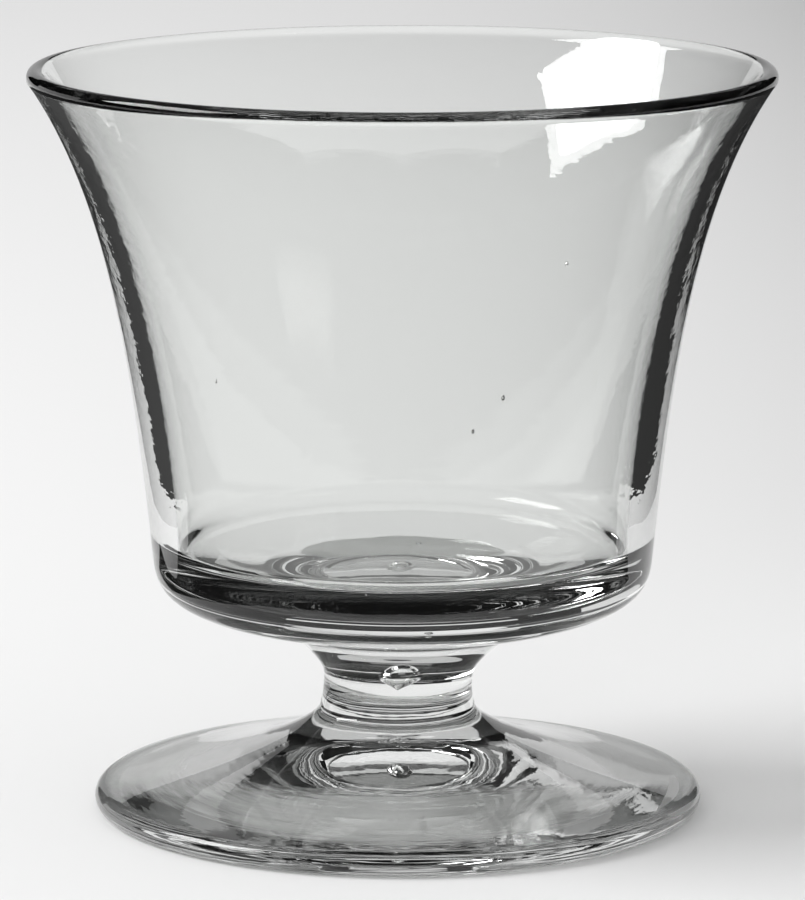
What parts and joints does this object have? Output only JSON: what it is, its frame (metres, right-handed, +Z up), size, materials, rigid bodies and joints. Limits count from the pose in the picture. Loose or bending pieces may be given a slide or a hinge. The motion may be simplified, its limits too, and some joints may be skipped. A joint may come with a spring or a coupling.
{
  "type": "fruit cocktail glass",
  "caption": "Clear footed glass for fruit cocktail: a flared thick-based bowl on a short waisted stem with a trapped drop of air, on a round spreading foot.",
  "frame": {"origin": "centre of the ring under the foot that the glass stands on", "axes": "+Z up the axis of the glass, from the foot to the mouth of the bowl; the glass is round, so X and Y are free"},
  "size_m": [0.088, 0.088, 0.0886],
  "materials": {
    "clear_glass": "fire-polished, colourless"
  },
  "bodies": {
    "root": {"foot": "clear_glass", "stem": "clear_glass", "bowl": "clear_glass"}
  },
  "joints": []
}
